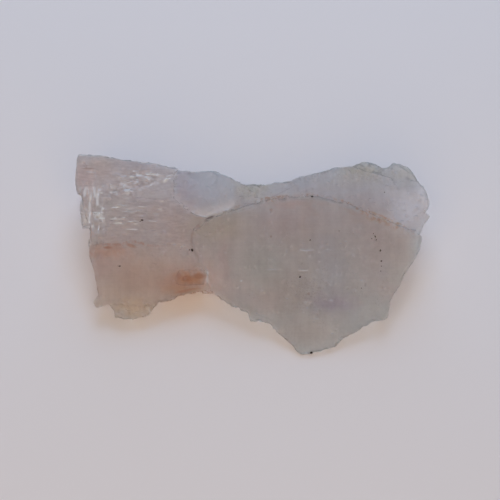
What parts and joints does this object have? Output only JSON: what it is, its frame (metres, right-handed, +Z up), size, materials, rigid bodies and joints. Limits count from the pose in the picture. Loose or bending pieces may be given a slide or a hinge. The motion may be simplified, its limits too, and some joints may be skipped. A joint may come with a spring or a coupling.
{
  "type": "fluorite crystal cluster",
  "caption": "Intergrown cloudy pale grey fluorite crystals: a stepped block and a broad smooth plate on a cleaved base, a natural specimen that lies flat.",
  "frame": {"origin": "centre of the bounding box, at the level of the cleaved base it rests on", "axes": "+X along the cluster from the stepped block to the broad plate, +Y from the thin front edge to the thick back, +Z up"},
  "size_m": [0.0782, 0.0436, 0.0186],
  "materials": {
    "fluorite": "cloudy translucent crystal, vitreous on its faces and rough on its broken edges"
  },
  "bodies": {
    "root": {"fluorite_crystal": "fluorite"}
  },
  "joints": []
}
